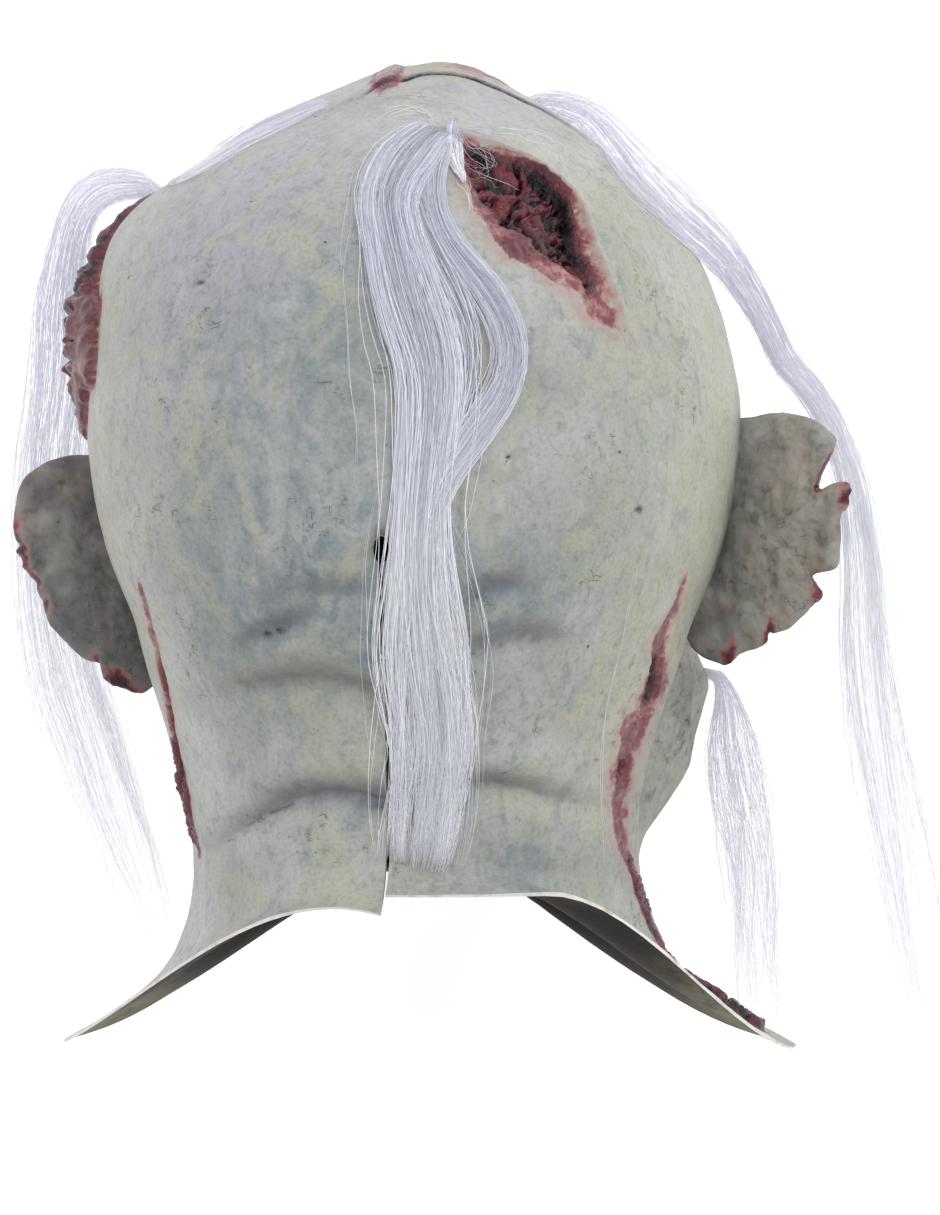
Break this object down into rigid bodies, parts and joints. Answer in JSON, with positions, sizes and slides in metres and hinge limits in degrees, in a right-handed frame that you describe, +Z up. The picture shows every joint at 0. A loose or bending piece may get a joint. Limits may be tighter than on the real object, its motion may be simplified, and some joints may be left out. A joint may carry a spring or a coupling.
{
  "type": "full-head zombie mask",
  "caption": "Full-head latex mask of a decayed head with open wounds, torn ears and locks of white hair, hollow and open at the neck, lying face down",
  "frame": {"origin": "The middle of the flat spot on the brow, on the surface that the mask lies on.", "axes": "+X points to the wearer's right, +Y to the crown, and +Z up, out of the back of the head. The face is down."},
  "size_m": [0.3124, 0.3239, 0.2449],
  "materials": {
    "latex": "matt painted latex, grey-green with red wounds",
    "hair": "straight synthetic hair, bluish white"
  },
  "bodies": {
    "root": {"mask_skin": "latex", "hair_lock_back": "hair", "hair_lock_left": "hair", "hair_lock_right": "hair", "hair_lock_jaw": "hair"}
  },
  "joints": []
}
